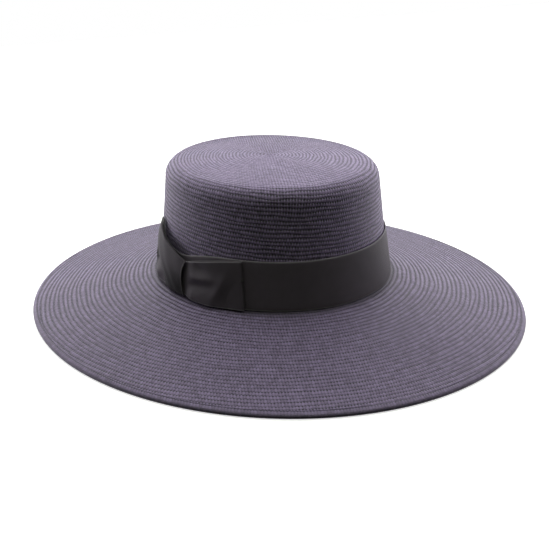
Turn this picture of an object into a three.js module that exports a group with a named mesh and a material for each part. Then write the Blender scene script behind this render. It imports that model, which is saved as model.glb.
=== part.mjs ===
// A wide-brimmed straw boater: an oval crown with a flat tip, a gently sloping brim with a rolled edge,
// and a ribbon band with a flat bow on the wearer's right side.
//
// Millimetres, +Z up. The hat lies brim down on the plane z = 0. Its front points to -Y and its right side
// to -X. The origin is on that plane, under the middle of the crown.

import * as THREE from 'three';

// Driving dimensions: the crown
const headHalfLength = 98.7;        // outside of the wall at its foot, front to back
const headHalfWidth = 87.2;         // the same, side to side
const crownHeight = 88.4;           // from the brim's inner edge to the middle of the tip
const wallLean = 7.5;               // how far the wall leans in between its foot and the shoulder
const shoulderRadius = 11.7;
const tipRise = 3.0;                // the tip's dome
const strawThickness = 2.0;
const pieceGap = 0.3;               // air between pieces that lie on each other

// Driving dimensions: the brim
const brimHalfLength = 211.5;
const brimHalfWidth = 187.3;
const footHeight = 26.2;            // the brim's inner edge above the plane that the hat lies on
const brimSag = 0.12;               // the slope is this much steeper at the crown, and flatter at the edge
const rollDiameter = 3.4;           // the edge is turned under and rolled
const rollFlat = 1.8;               // width of the ring that the hat lies on
const collarHeight = 12;            // the brim's inner edge turns up inside the crown
const collarThickness = 1.8;

// Driving dimensions: the ribbon
const ribbonWidth = 35.4;
const ribbonThickness = 1.0;
const bandFlareAtFoot = 2.66;       // the ribbon's face stands this far outside the crown's foot
const bandFlareAtTop = 1.39;        // and this far outside the wall at its upper edge
const knotBearing = 77;             // degrees from the front, round the wearer's right side
const bandPinchDepth = 6.5;         // the knot draws the band's upper edge down
const bandPinchReach = 26;
const leanAboveBand = 2.3;          // the bow's rear loop leans in over the band's upper edge

const aroundCrown = 72;             // facets round the crown and the brim
const aroundBand = 96;              // facets round the ribbon

const wallHeight = crownHeight - tipRise - shoulderRadius;

// How far the crown's outer wall has leaned in at a height above the brim's inner edge
function wallOffset(height) {
  return -wallLean * Math.min(height / wallHeight, 1);
}

// Gives back a geometry whose faces point out: the volume that they enclose comes out positive.
function closedBody(points, triangles) {
  const a = new THREE.Vector3();
  const b = new THREE.Vector3();
  const c = new THREE.Vector3();
  let volume = 0;
  for (const [i, j, k] of triangles) {
    volume += a.copy(points[i]).dot(b.copy(points[j]).cross(c.copy(points[k])));
  }
  const facing = volume > 0 ? triangles : triangles.map(([i, j, k]) => [i, k, j]);
  const geometry = new THREE.BufferGeometry();
  geometry.setFromPoints(points);
  geometry.setIndex(facing.flat());
  geometry.computeVertexNormals();
  return geometry;
}

// A section carried round the oval. Each station has the half length and half width of its ring and its
// height. A first and last station of no size are the two poles of a dome; otherwise the section closes.
function ovalBody(stations) {
  const points = [];
  const triangles = [];
  const rings = stations.map(({ halfLength, halfWidth, z }) => {
    const first = points.length;
    if (halfLength === 0) {
      points.push(new THREE.Vector3(0, 0, z));
      return { first, pole: true };
    }
    for (let step = 0; step < aroundCrown; step += 1) {
      const angle = (2 * Math.PI * step) / aroundCrown;
      points.push(new THREE.Vector3(halfWidth * Math.sin(angle), -halfLength * Math.cos(angle), z));
    }
    return { first, pole: false };
  });
  const corner = (ring, step) => (ring.pole ? ring.first : ring.first + (step % aroundCrown));
  const domed = rings[0].pole;
  const bands = domed ? rings.length - 1 : rings.length;
  for (let index = 0; index < bands; index += 1) {
    const here = rings[index];
    const next = rings[(index + 1) % rings.length];
    for (let step = 0; step < aroundCrown; step += 1) {
      if (!here.pole) {
        triangles.push([corner(here, step), corner(next, step), corner(here, step + 1)]);
      }
      if (!next.pole) {
        triangles.push([corner(here, step + 1), corner(next, step), corner(next, step + 1)]);
      }
    }
  }
  return closedBody(points, triangles);
}

// A thick sheet: a front and a back skin over the same grid, and a rim between them on each open side.
function sheetBody({ columns, rows, front, back, closedRound }) {
  const points = [];
  const triangles = [];
  const across = closedRound ? columns : columns + 1;
  for (const skin of [front, back]) {
    for (let column = 0; column < across; column += 1) {
      for (let row = 0; row <= rows; row += 1) {
        points.push(skin(column, row));
      }
    }
  }
  const skinSize = across * (rows + 1);
  const at = (side, column, row) => side * skinSize + (column % across) * (rows + 1) + row;
  const quad = (a, b, c, d) => triangles.push([a, b, c], [a, c, d]);
  for (let column = 0; column < columns; column += 1) {
    for (let row = 0; row < rows; row += 1) {
      quad(at(0, column, row), at(0, column + 1, row), at(0, column + 1, row + 1), at(0, column, row + 1));
      quad(at(1, column, row), at(1, column, row + 1), at(1, column + 1, row + 1), at(1, column + 1, row));
    }
    quad(at(0, column, 0), at(1, column, 0), at(1, column + 1, 0), at(0, column + 1, 0));
    quad(at(0, column, rows), at(0, column + 1, rows), at(1, column + 1, rows), at(1, column, rows));
  }
  if (!closedRound) {
    for (let row = 0; row < rows; row += 1) {
      quad(at(0, 0, row), at(0, 0, row + 1), at(1, 0, row + 1), at(1, 0, row));
      quad(at(0, columns, row), at(1, columns, row), at(1, columns, row + 1), at(0, columns, row + 1));
    }
  }
  return closedBody(points, triangles);
}

// The crown: a leaning wall, a round shoulder and a slightly domed tip, one thickness of straw throughout.
function crownShell() {
  const shell = (inset, bottom) => {
    const radius = shoulderRadius - inset;
    const tipHalfLength = headHalfLength - wallLean - shoulderRadius;
    const tipHalfWidth = headHalfWidth - wallLean - shoulderRadius;
    const stations = [{ halfLength: 0, halfWidth: 0, z: footHeight + crownHeight - inset }];
    for (const part of [0.35, 0.7]) {
      stations.push({
        halfLength: tipHalfLength * part,
        halfWidth: tipHalfWidth * part,
        z: footHeight + crownHeight - inset - tipRise * part * part,
      });
    }
    for (let step = 0; step <= 5; step += 1) {
      const turn = (Math.PI / 2) * (step / 5);
      stations.push({
        halfLength: tipHalfLength + radius * Math.sin(turn),
        halfWidth: tipHalfWidth + radius * Math.sin(turn),
        z: footHeight + wallHeight + radius * Math.cos(turn),
      });
    }
    for (const height of [wallHeight / 2, bottom]) {
      stations.push({
        halfLength: headHalfLength - inset + wallOffset(height),
        halfWidth: headHalfWidth - inset + wallOffset(height),
        z: footHeight + height,
      });
    }
    return stations;
  };
  const outside = shell(0, pieceGap);
  const inside = shell(strawThickness, pieceGap);
  return ovalBody([...outside, ...inside.reverse()]);
}

// Height of the brim's upper face: nearly straight from the crown, share 0, to the rolled edge, share 1
function brimHeight(share) {
  const fall = (1 - share) * (1 - brimSag * share);
  return rollDiameter + (footHeight - rollDiameter) * fall;
}

// The brim: a collar inside the crown, the sloping straw, and the rolled edge with a flat underside
function brimRing() {
  const station = (share, inset, z) => ({
    halfLength: headHalfLength + (brimHalfLength - headHalfLength) * share - inset,
    halfWidth: headHalfWidth + (brimHalfWidth - headHalfWidth) * share - inset,
    z,
  });
  const collarOutside = strawThickness + pieceGap;
  const collarInside = collarOutside + collarThickness;
  const leanAtTop = -wallOffset(collarHeight);
  const rollRadius = rollDiameter / 2;
  const stations = [
    station(0, collarOutside + leanAtTop, footHeight + collarHeight),
    station(0, collarOutside, footHeight),
  ];
  for (const share of [0, 0.1, 0.25, 0.45, 0.65, 0.85, 0.97]) {
    stations.push(station(share, 0, brimHeight(share)));
  }
  for (const degrees of [80, 45, 10, -25]) {
    const turn = THREE.MathUtils.degToRad(degrees);
    stations.push(station(1, rollRadius * (1 - Math.cos(turn)), rollRadius * (1 + Math.sin(turn))));
  }
  stations.push(station(1, rollRadius - rollFlat / 2, 0));
  stations.push(station(1, rollRadius + rollFlat / 2, 0));
  stations.push(station(1, rollDiameter, rollRadius * 0.8));
  for (const share of [0.95, 0.85, 0.65, 0.45, 0.25, 0.1]) {
    stations.push(station(share, 0, brimHeight(share) - strawThickness));
  }
  stations.push(station(0, collarInside, footHeight - strawThickness / 2));
  stations.push(station(0, collarInside + leanAtTop, footHeight + collarHeight));
  return ovalBody(stations);
}

// The crown's foot as a plan curve: from the front (-Y) by the wearer's left side, the back and the right side
const footCurve = new THREE.EllipseCurve(
  0, 0, headHalfWidth, headHalfLength, -Math.PI / 2, (3 * Math.PI) / 2, false, 0,
);
footCurve.arcLengthDivisions = 1440;
const footLength = footCurve.getLength();

// Distance along the foot curve of the knot's middle, found from its bearing
const knotDistance = (() => {
  const bearing = THREE.MathUtils.degToRad(knotBearing);
  const turn = Math.atan2(headHalfLength * Math.sin(bearing), headHalfWidth * Math.cos(bearing));
  const whole = footCurve.getLengths();
  return whole[Math.round((1 - turn / (2 * Math.PI)) * footCurve.arcLengthDivisions)];
})();

// A place on the ribbon band: along it from the knot's middle towards the front, up from its lower edge, and
// out from its face.
function onBand(along, up, out) {
  const share = (((knotDistance + along) / footLength) % 1 + 1) % 1;
  const foot = footCurve.getPointAt(share);
  const tangent = footCurve.getTangentAt(share);
  const flareAtTop = wallOffset(ribbonWidth) + bandFlareAtTop;
  const flare = bandFlareAtFoot + (flareAtTop - bandFlareAtFoot) * (up / ribbonWidth);
  const offset = flare + out;
  return new THREE.Vector3(
    foot.x + tangent.y * offset,
    foot.y - tangent.x * offset,
    footHeight + up,
  );
}

const bump = (value, middle, reach) => Math.exp(-(((value - middle) / reach) ** 2));

// The value of a column of a table at a place between its rows, on a smooth curve through all the rows
function columnAt(table, key, column, value) {
  const last = table.length - 1;
  const direction = Math.sign(table[last][key] - table[0][key]);
  let index = 0;
  while (index < last - 1 && direction * (value - table[index + 1][key]) > 0) {
    index += 1;
  }
  const slope = (row) => {
    const before = table[Math.max(row - 1, 0)];
    const after = table[Math.min(row + 1, last)];
    return (after[column] - before[column]) / (after[key] - before[key]);
  };
  const start = table[index];
  const end = table[index + 1];
  const span = end[key] - start[key];
  const part = THREE.MathUtils.clamp((value - start[key]) / span, 0, 1);
  const square = part * part;
  const cube = square * part;
  return (
    start[column] * (2 * cube - 3 * square + 1)
    + end[column] * (3 * square - 2 * cube)
    + slope(index) * span * (cube - 2 * square + part)
    + slope(index + 1) * span * (cube - square)
  );
}

// The ribbon round the crown, drawn in at its upper edge where the knot grips it
function band() {
  const place = (out) => (column, row) => {
    const along = (footLength * column) / aroundBand - footLength / 2;
    const top = ribbonWidth - bandPinchDepth * bump(along, 0, bandPinchReach);
    return onBand(along, (top * row) / 2, out);
  };
  return sheetBody({
    columns: aroundBand,
    rows: 2,
    front: place(0),
    back: place(-ribbonThickness),
    closedRound: true,
  });
}

const innerLayer = pieceGap + ribbonThickness / 2;            // middle of the layer that lies on the band
const flatLayer = innerLayer + ribbonThickness + 0.4;         // middle of the outer layer where it lies flat

// Above the band the bow's layers lean in, so that they follow the crown's wall.
const leanIn = (up) => leanAboveBand * THREE.MathUtils.smoothstep(up, ribbonWidth - 2, ribbonWidth + 13);

// A loop of the bow, folded flat: one layer outside, a fold at the tip, one layer on the band, and a fold
// under the knot. The tables give the edges of the outer and the inner layer along the band, and two
// functions give how far the layers' middles stand off it. The tip's lower corner reaches further than its
// upper corner by tipSlant.
function ribbonLoop({ root, tip, tipSlant, outerEdges, innerEdges, outerOff, innerOff }) {
  const outerSteps = 17;
  const innerSteps = 10;
  const foldSteps = 4;
  const rows = 12;
  const towards = Math.sign(tip - root);
  const stations = [];
  for (let step = 0; step <= outerSteps; step += 1) {
    stations.push({ share: step / outerSteps, turn: 90 });
  }
  for (let step = 1; step < foldSteps; step += 1) {
    stations.push({ share: 1, turn: 90 - (180 * step) / foldSteps });
  }
  for (let step = innerSteps; step >= 0; step -= 1) {
    stations.push({ share: step / innerSteps, turn: -90 });
  }
  for (let step = 1; step < foldSteps; step += 1) {
    stations.push({ share: 0, turn: 270 - (180 * step) / foldSteps });
  }
  const place = (side) => (column, row) => {
    const { share, turn } = stations[column % stations.length];
    const angle = THREE.MathUtils.degToRad(turn);
    const outerPart = (1 + Math.sin(angle)) / 2;
    const slant = tipSlant * share * share * (0.5 - row / rows);
    const level = THREE.MathUtils.lerp(root, tip, share) + towards * slant;
    const edge = (name) => THREE.MathUtils.lerp(
      columnAt(innerEdges, 'along', name, level),
      columnAt(outerEdges, 'along', name, level),
      outerPart,
    );
    const up = THREE.MathUtils.lerp(edge('low'), edge('high'), row / rows);
    const outer = outerOff(level, up);
    const inner = innerOff(level, up);
    const reach = (outer - inner) / 2 + (side * ribbonThickness) / 2;
    const along = level + towards * reach * Math.cos(angle);
    return onBand(along, up, (outer + inner) / 2 + reach * Math.sin(angle) - leanIn(up));
  };
  return sheetBody({
    columns: stations.length,
    rows,
    front: place(1),
    back: place(-1),
    closedRound: true,
  });
}

// The folds of a loop: each is a long bell, with its middle, its direction in degrees from the front, its
// length and its width. It is a ridge, or a valley where its depth is below 0.
function foldedHeight(folds, along, up) {
  let height = 0;
  for (const fold of folds) {
    const turn = THREE.MathUtils.degToRad(fold.turn);
    const ahead = along - fold.along;
    const above = up - fold.up;
    const lengthwise = ahead * Math.cos(turn) + above * Math.sin(turn);
    const crosswise = above * Math.cos(turn) - ahead * Math.sin(turn);
    height += fold.depth * bump(lengthwise, 0, fold.length) * bump(crosswise, 0, fold.width);
  }
  return height;
}

// The front loop lies along the band. Two soft folds run out of the knot, with a slanting ridge at their end.
function frontLoop() {
  const edges = [
    { along: -1.5, low: 3.4, high: 22.6 },
    { along: 10, low: 2.4, high: 25.4 },
    { along: 25, low: 0.8, high: 29.2 },
    { along: 43, low: 0.5, high: 32.9 },
    { along: 66, low: 0.5, high: 35.2 },
  ];
  const folds = [
    { depth: -1.6, along: 27, up: 24.5, turn: -5, length: 10, width: 4.2 },
    { depth: 0.8, along: 31, up: 18.5, turn: 5, length: 10, width: 2.6 },
    { depth: -2.0, along: 23, up: 11.5, turn: 6, length: 14, width: 3.6 },
    { depth: 0.5, along: 20, up: 4.5, turn: -6, length: 11, width: 3.0 },
    { depth: 1.2, along: 45, up: 13, turn: 64, length: 12, width: 3.8 },
    { depth: -1.0, along: 55, up: 9, turn: 60, length: 8, width: 4.5 },
  ];
  const outerOff = (along, up) => {
    const free = THREE.MathUtils.smoothstep(along, 13, 23);
    const swell = 2.0 * (1 - THREE.MathUtils.smoothstep(along, 34, 62));
    return flatLayer + Math.max(free * (swell + foldedHeight(folds, along, up)), 0);
  };
  return ribbonLoop({
    root: -1.5,
    tip: 62.0,
    tipSlant: 2.9,
    outerEdges: edges,
    innerEdges: edges,
    outerOff,
    innerOff: () => innerLayer,
  });
}

// The rear loop is fanned: its inner layer lies level on the band, and its outer layer climbs towards the
// back under the knot, so that its lower edge runs across the inner layer and its upper corner leans on the
// crown's wall. The inner layer bulges out where the outer one leaves it free.
function rearLoop() {
  const outerEdges = [
    { along: -5.5, low: 4.0, high: 28.0 },
    { along: -15, low: 9.8, high: 33.0 },
    { along: -28.6, low: 15.6, high: 39.8 },
    { along: -36, low: 16.6, high: 45.2 },
    { along: -43, low: 16.6, high: 44.6 },
  ];
  const innerEdges = [
    { along: -5.5, low: 3.4, high: 27.0 },
    { along: -20, low: 1.0, high: 31.0 },
    { along: -43, low: 0.4, high: 34.8 },
  ];
  const outerOff = (along, up) => {
    const lifted = THREE.MathUtils.smoothstep(-along, 38, 40) * (1 - THREE.MathUtils.smoothstep(-along, 40, 43));
    const overEdge = up - columnAt(outerEdges, 'along', 'low', along);
    return flatLayer + 0.6 * lifted * bump(overEdge, 0, 6);
  };
  const innerOff = (along, up) => innerLayer + 2.4 * bump(along, -32, 9) * bump(up, 6, 5);
  return ribbonLoop({
    root: -5.5, tip: -43, tipSlant: 0, outerEdges, innerEdges, outerOff, innerOff,
  });
}

// The knot: a wrap of ribbon over both loops, narrow at the foot and spread like a fan towards the back. Each
// row of the table is a line across it, from its back edge to its front edge; the first is tucked under the
// loops and the last is the free upper edge, which climbs towards the back.
function knot() {
  const sections = [
    { step: 0, back: -11.0, backUp: 0.6, front: 11.8, frontUp: 0.6, out: innerLayer },
    { step: 1, back: -11.0, backUp: 1.3, front: 12.2, frontUp: 1.3, out: 2.3 },
    { step: 2, back: -10.8, backUp: 2.4, front: 12.8, frontUp: 2.4, out: 3.7 },
    { step: 3, back: -13.8, backUp: 8.6, front: 11.6, frontUp: 7.0, out: 4.3 },
    { step: 4, back: -19.0, backUp: 15.6, front: 10.8, frontUp: 13.0, out: 5.0 },
    { step: 5, back: -26.5, backUp: 23.5, front: 10.8, frontUp: 18.5, out: 5.2 },
    { step: 6, back: -33.5, backUp: 33.0, front: 11.6, frontUp: 23.0, out: 4.6 },
    { step: 7, back: -37.0, backUp: 43.5, front: 13.4, frontUp: 27.2, out: 4.0 },
  ];
  const columns = 12;
  const levels = [0, 0.5, 1, 1.5, 2, 2.5, 3, 3.5, 4, 4.5, 5, 5.5, 6, 6.5, 7];
  const place = (side) => (column, row) => {
    const level = levels[row];
    const at = (name) => columnAt(sections, 'step', name, level);
    const across = column / columns;
    const along = THREE.MathUtils.lerp(at('back'), at('front'), across);
    const up = THREE.MathUtils.lerp(at('backUp'), at('frontUp'), across);
    const overLoops = THREE.MathUtils.smoothstep(level, 1, 3);
    const crowned = 0.9 * Math.sin(Math.PI * across) * overLoops;
    const backEdge = -0.4 * (1 - THREE.MathUtils.smoothstep(across, 0, 0.3)) * overLoops;
    const tucked = Math.max(1 - level / 2, 0);
    const outward = (side * ribbonThickness) / 2;
    return onBand(
      along,
      up - outward * tucked,
      at('out') + crowned + backEdge + outward * (1 - 0.6 * tucked) - leanIn(up),
    );
  };
  return sheetBody({
    columns,
    rows: levels.length - 1,
    front: place(1),
    back: place(-1),
    closedRound: false,
  });
}

const straw = new THREE.MeshStandardMaterial({ color: 0x6b6378, roughness: 0.62, metalness: 0 });
const ribbon = new THREE.MeshStandardMaterial({ color: 0x262528, roughness: 0.55, metalness: 0 });

const hat = new THREE.Group();
for (const [name, geometry, material] of [
  ['crown', crownShell(), straw],
  ['brim', brimRing(), straw],
  ['hat_band', band(), ribbon],
  ['bow_loop_front', frontLoop(), ribbon],
  ['bow_loop_rear', rearLoop(), ribbon],
  ['bow_knot', knot(), ribbon],
]) {
  const mesh = new THREE.Mesh(geometry, material);
  mesh.name = name;
  hat.add(mesh);
}

export default hat;
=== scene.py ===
# %% [markdown]
# # A wide straw boater, in cells
# The hat is woven straw: an oval crown with a flat tip, and a wide brim that slopes down to a rolled edge. A
# ribbon goes round the crown, with a flat bow on the wearer's right side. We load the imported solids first,
# because every visible piece lies where a solid lies.

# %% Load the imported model
import math

import bpy
import numpy as np
from mathutils import Matrix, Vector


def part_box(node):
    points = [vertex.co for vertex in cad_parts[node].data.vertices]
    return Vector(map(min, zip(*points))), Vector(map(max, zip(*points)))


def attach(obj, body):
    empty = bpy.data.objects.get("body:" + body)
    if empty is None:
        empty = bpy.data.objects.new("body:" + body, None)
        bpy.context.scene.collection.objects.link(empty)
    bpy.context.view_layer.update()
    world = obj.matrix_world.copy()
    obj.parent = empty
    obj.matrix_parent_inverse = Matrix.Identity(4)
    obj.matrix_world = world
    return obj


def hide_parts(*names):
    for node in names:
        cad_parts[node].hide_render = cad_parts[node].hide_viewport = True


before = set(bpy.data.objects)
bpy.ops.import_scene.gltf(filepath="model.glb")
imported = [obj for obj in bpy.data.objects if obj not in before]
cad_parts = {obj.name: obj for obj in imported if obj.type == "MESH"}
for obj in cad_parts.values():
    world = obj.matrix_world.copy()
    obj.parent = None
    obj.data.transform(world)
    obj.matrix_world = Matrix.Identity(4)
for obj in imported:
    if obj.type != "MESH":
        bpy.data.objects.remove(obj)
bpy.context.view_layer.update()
print("solids:", sorted(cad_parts))

# %% [markdown]
# ## Sizes
# The solids give the large sizes. What they can't give, such as the lean of the wall, is named here. All the
# shapes are worked out in millimetres and become metres when a mesh is made.

# %% Sizes in millimetres
MILLIMETRE = 0.001


def box_mm(node):
    """The lowest and the highest corner of a solid, in millimetres."""
    return [np.array(corner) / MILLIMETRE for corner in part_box(node)]


crown_high = box_mm("crown")[1]
brim_high = box_mm("brim")[1]
band_low, band_high = box_mm("hat_band")

HEAD_HALF_LENGTH = crown_high[1]  # outside of the crown's foot, front to back
HEAD_HALF_WIDTH = crown_high[0]
TIP_TOP = crown_high[2]
FOOT_HEIGHT = band_low[2]  # the ribbon's lower edge lies on the brim's inner edge
BRIM_HALF_LENGTH = brim_high[1]
BRIM_HALF_WIDTH = brim_high[0]
RIBBON_WIDTH = band_high[2] - band_low[2]

WALL_LEAN = 7.5  # the wall leans out by this much from the shoulder to the foot
SHOULDER_RADIUS = 11.7
TIP_RISE = 3.0
STRAW_THICKNESS = 2.0
PIECE_GAP = 0.3
BRIM_SAG = 0.12
ROLL_DIAMETER = 3.4
COLLAR_HEIGHT = 12.0
COLLAR_THICKNESS = 1.8
WALL_HEIGHT = TIP_TOP - FOOT_HEIGHT - TIP_RISE - SHOULDER_RADIUS
print(f"head {2 * HEAD_HALF_LENGTH:.1f} x {2 * HEAD_HALF_WIDTH:.1f} mm, brim {2 * BRIM_HALF_LENGTH:.1f} mm,",
      f"ribbon {RIBBON_WIDTH:.1f} mm")

# %% [markdown]
# ## The camera
# The view is from a little above, a quarter turn to the hat's right of its front, and from under a metre
# away, so the brim's near edge looks wider than its far edge. A slight roll keeps the table level as the
# camera saw it.

# %% The camera
CAMERA_AZIMUTH = math.radians(-24.61)
CAMERA_ELEVATION = math.radians(20.91)
CAMERA_ROLL = math.radians(1.12)
CAMERA_DISTANCE = 816.23
SENSOR = 36.0
CAMERA_AIM = np.array([1.155, -0.529, 16.23])
LENS = 67.118


def camera_axes():
    """Right, up and back of the camera: the back axis points from the aim to the camera, right is level,
    up is back crossed with right, and both are then turned by the roll."""
    cos_up, sin_up = math.cos(CAMERA_ELEVATION), math.sin(CAMERA_ELEVATION)
    cos_round, sin_round = math.cos(CAMERA_AZIMUTH), math.sin(CAMERA_AZIMUTH)
    back = np.array([sin_round * cos_up, -cos_round * cos_up, sin_up])
    right = np.array([cos_round, sin_round, 0.0])
    up = np.cross(back, right)
    turned_right = math.cos(CAMERA_ROLL) * right - math.sin(CAMERA_ROLL) * up
    turned_up = math.sin(CAMERA_ROLL) * right + math.cos(CAMERA_ROLL) * up
    return turned_right, turned_up, back


right_axis, up_axis, back_axis = camera_axes()
camera_data = bpy.data.cameras.new("camera")
camera_data.lens = LENS
camera_data.sensor_width = SENSOR
camera = bpy.data.objects.new("camera", camera_data)
bpy.context.scene.collection.objects.link(camera)
placed = np.eye(4)
placed[:3, 0] = right_axis
placed[:3, 1] = up_axis
placed[:3, 2] = back_axis
placed[:3, 3] = (CAMERA_AIM + CAMERA_DISTANCE * back_axis) * MILLIMETRE
camera.matrix_world = Matrix(placed.tolist())
bpy.context.scene.camera = camera
print("camera at", np.round(placed[:3, 3], 3))

# %% [markdown]
# ## Colours and nodes
# Colours are written as a picker shows them, and one function turns them to the linear values that shaders
# need. One small function adds a node with its settings and its links, and the others here are short names
# for the nodes that every material uses, so each material reads as a list.

# %% Helpers for materials


def linear(colour):
    """A colour #rrggbb as linear red, green, blue and alpha: each part is divided by 12.92 where it is
    small, and otherwise raised to the power 2.4 as the sRGB standard says."""
    parts = np.array([int(colour[i:i + 2], 16) for i in (1, 3, 5)]) / 255
    straight = np.where(parts <= 0.04045, parts / 12.92, ((parts + 0.055) / 1.055) ** 2.4)
    return (*straight.tolist(), 1.0)


def add_node(tree, kind, inputs=(), **settings):
    """Adds one node: settings are its own properties, and inputs maps a socket to a value or a link."""
    node = tree.nodes.new(kind)
    for name, value in settings.items():
        setattr(node, name, value)
    for socket, value in dict(inputs).items():
        if isinstance(value, bpy.types.NodeSocket):
            tree.links.new(value, node.inputs[socket])
        else:
            node.inputs[socket].default_value = value
    return node


def new_material(name, numbers):
    """An empty material, its node tree and its shader, which takes the numbers given."""
    material = bpy.data.materials.new(name)
    material.use_nodes = True
    tree = material.node_tree
    tree.nodes.clear()
    shader = add_node(tree, "ShaderNodeBsdfPrincipled", numbers)
    add_node(tree, "ShaderNodeOutputMaterial", {"Surface": shader.outputs["BSDF"]})
    return material, tree, shader


def calculator(tree, kind="ShaderNodeMath"):
    """A function that adds one sum to the tree, an operation on values or links, and gives its result."""
    def calculate(operation, *values, **settings):
        return add_node(tree, kind, dict(enumerate(values)), operation=operation, **settings).outputs[0]
    return calculate


def smooth_range(tree, value, start, end, low=0.0, high=1.0):
    """low where the value is start, high where it is end, and a smooth cubic between them."""
    numbers = {"Value": value, "From Min": start, "From Max": end, "To Min": low, "To Max": high}
    return add_node(tree, "ShaderNodeMapRange", numbers, interpolation_type="SMOOTHSTEP").outputs["Result"]


def noise(tree, place, scale, detail, space="3D"):
    """Soft noise around a half, with so many waves to each unit of the place."""
    return add_node(tree, "ShaderNodeTexNoise", {"Vector": place, "Scale": scale, "Detail": detail},
                    noise_dimensions=space).outputs


def add_bump(tree, shader, height, strength, distance):
    """Lets a height tilt the shader's normal: distance is the height of 1, in metres."""
    bump = add_node(tree, "ShaderNodeBump", {"Height": height, "Strength": strength, "Distance": distance})
    tree.links.new(bump.outputs["Normal"], shader.inputs["Normal"])


def point_value(tree, name):
    """A value that the mesh stores for each point."""
    return add_node(tree, "ShaderNodeAttribute", attribute_name=name).outputs["Fac"]


def mixed_colour(tree, factor, first, second):
    """One colour mixed over another."""
    return add_node(tree, "ShaderNodeMix", {"Factor": factor, "A": first, "B": second},
                    data_type="RGBA").outputs["Result"]


def colour_ramp(tree, factor, stops):
    """Colours along a factor, from pairs of a place and a colour."""
    ramp = add_node(tree, "ShaderNodeValToRGB", {"Fac": factor})
    elements = ramp.color_ramp.elements
    while len(elements) < len(stops):
        elements.new(0.5)
    for element, (place, colour) in zip(elements, stops):
        element.position = place
        element.color = linear(colour)
    return ramp.outputs["Color"]


# %% [markdown]
# ## Light
# The hat stands on a white table in a bright tent. Most of the light comes from behind and from both sides,
# fairly low, and some from right above, but it is dark where the camera stands. So the tip and the brim are
# pale, the flanks of the crown shine, and the front of the crown stays nearly black. A world shader with a
# bright and a dark side does this with no lamp in sight, and the background stays white from every side.

# %% The world and the floor
WORLD_TOP = 7.6
WORLD_SIDES = 3.42
WORLD_FRONT = 0.08
WORLD_FALL = 0.72  # the light falls by this share towards the top of the tent
WORLD_BELOW = 0.5  # under the horizon the tent is dimmer by this factor
SIDES_ZONE = (0.4, -0.8)  # where the sides grow bright, by the cosine of the angle to the front
TINT_ZONE = (-0.1, 0.5)
TOP_ZONE = (0.8, 0.97)  # the zones above and below are by height on a ball of radius 1
HORIZON_ZONE = (-0.12, 0.02)
WHITE = "#ffffff"
FRONT_TINT = "#f0ffd4"                # the little light from the camera's side is yellowish
FLOOR_WHITE = "#fafafa"
FLOOR_GLOW = 0.62
FLOOR_SIZE = 3.0
FLOOR_DROP = 0.0002
TENT_FRONT = np.array([math.sin(CAMERA_AZIMUTH), -math.cos(CAMERA_AZIMUTH), 0.0])


def make_world():
    """Light by direction: dark and a little yellow where it points to the camera's side, bright to the sides
    and the back, with a patch straight up. All of it fades with height, as 1 - fall x height, and is dimmer
    under the horizon. Rays from the camera see plain white."""
    world = bpy.data.worlds.new("tent")
    bpy.context.scene.world = world
    world.use_nodes = True
    tree = world.node_tree
    tree.nodes.clear()
    calculate = calculator(tree)
    direction = add_node(tree, "ShaderNodeTexCoord").outputs["Generated"]
    facing = add_node(tree, "ShaderNodeVectorMath", {0: direction, 1: TENT_FRONT.tolist()},
                      operation="DOT_PRODUCT").outputs["Value"]
    height = add_node(tree, "ShaderNodeSeparateXYZ", {"Vector": direction}).outputs["Z"]
    sides = smooth_range(tree, facing, *SIDES_ZONE, WORLD_FRONT, WORLD_SIDES)
    top = smooth_range(tree, height, *TOP_ZONE, 0.0, WORLD_TOP)
    below = smooth_range(tree, height, *HORIZON_ZONE, WORLD_BELOW, 1.0)
    brightness = calculate("MULTIPLY", calculate("MAXIMUM", sides, top), below)
    falling = calculate("MULTIPLY_ADD", height, -WORLD_FALL, 1.0)
    brightness = calculate("MULTIPLY", brightness, falling)
    front = smooth_range(tree, facing, *TINT_ZONE)
    tint = mixed_colour(tree, front, linear(WHITE), linear(FRONT_TINT))
    tent = add_node(tree, "ShaderNodeBackground", {"Color": tint, "Strength": brightness})
    white = add_node(tree, "ShaderNodeBackground", {"Color": linear(WHITE), "Strength": 1.0})
    from_camera = add_node(tree, "ShaderNodeLightPath").outputs["Is Camera Ray"]
    mixed = add_node(tree, "ShaderNodeMixShader",
                     {0: from_camera, 1: tent.outputs["Background"], 2: white.outputs["Background"]})
    add_node(tree, "ShaderNodeOutputWorld", {"Surface": mixed.outputs["Shader"]})


def make_floor():
    """A white table that glows a little, so that it stays white with only a faint shadow under the brim. It
    sends no light back to the hat: the world's lower half stands for that light."""
    half = FLOOR_SIZE / 2
    mesh = bpy.data.meshes.new("floor")
    mesh.from_pydata([(-half, -half, 0), (half, -half, 0), (half, half, 0), (-half, half, 0)], [],
                     [(0, 1, 2, 3)])
    floor = bpy.data.objects.new("floor", mesh)
    floor.location.z = -FLOOR_DROP
    floor.visible_diffuse = False
    floor.visible_glossy = False
    floor.visible_shadow = False
    bpy.context.scene.collection.objects.link(floor)
    material = new_material("white_table", {
        "Base Color": linear(FLOOR_WHITE), "Roughness": 0.9,
        "Emission Color": linear(WHITE), "Emission Strength": FLOOR_GLOW})[0]
    mesh.materials.append(material)


make_world()
make_floor()
bpy.context.scene.view_settings.view_transform = "Standard"
bpy.context.scene.view_settings.look = "None"
print("the tent is bright", WORLD_TOP, "above and", WORLD_SIDES, "at the sides")

# %% [markdown]
# ## Meshes from grids
# Every piece is a grid of points worked out as whole arrays. One function joins the points into faces, and
# one turns the faces outwards and makes the mesh. A face keeps its own weave coordinates at its corners, so
# two rows of straw that share an edge may still have different counts of crossings.

# %% Helpers for meshes
SIX_VOLUMES = 6000  # six times a volume in cubic millimetres, for a cubic centimetre


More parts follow.
